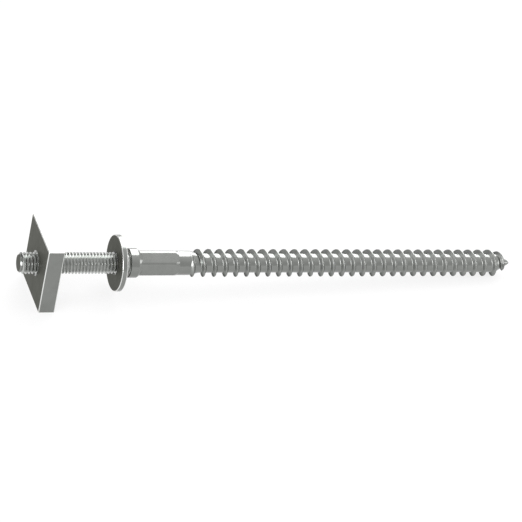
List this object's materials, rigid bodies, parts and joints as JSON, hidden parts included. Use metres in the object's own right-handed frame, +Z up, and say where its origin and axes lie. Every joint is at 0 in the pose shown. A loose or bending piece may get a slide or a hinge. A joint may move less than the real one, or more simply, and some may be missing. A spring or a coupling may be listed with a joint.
{
  "type": "hanger stud with plate nut",
  "caption": "Steel hanger stud: machine thread with a square plate nut and flat washer, stop collar, drive hexagon, and a long pointed wood thread.",
  "frame": {"origin": "on the ground under the middle of the lying part", "axes": "+X along the stud towards the wood point, tipped down with it by its lean at rest; +Z up"},
  "size_m": [0.2, 0.026, 0.0262],
  "materials": {
    "stud_steel": "bright smooth steel",
    "plate_steel": "bright smooth steel",
    "washer_steel": "bright smooth steel"
  },
  "bodies": {
    "stud": {"hanger_stud": "stud_steel"},
    "nut": {"plate_nut": "plate_steel"},
    "washer": {"flat_washer": "washer_steel"}
  },
  "joints": [
    {"name": "nut_travel", "type": "slide", "parent": "stud", "child": "nut", "axis": [0.9991, 0, -0.0427], "range_m": [-0.00625, 0.0175]},
    {"name": "washer_travel", "type": "slide", "parent": "stud", "child": "washer", "axis": [0.9991, 0, -0.0427], "range_m": [-0.0058, 0.0025]}
  ]
}
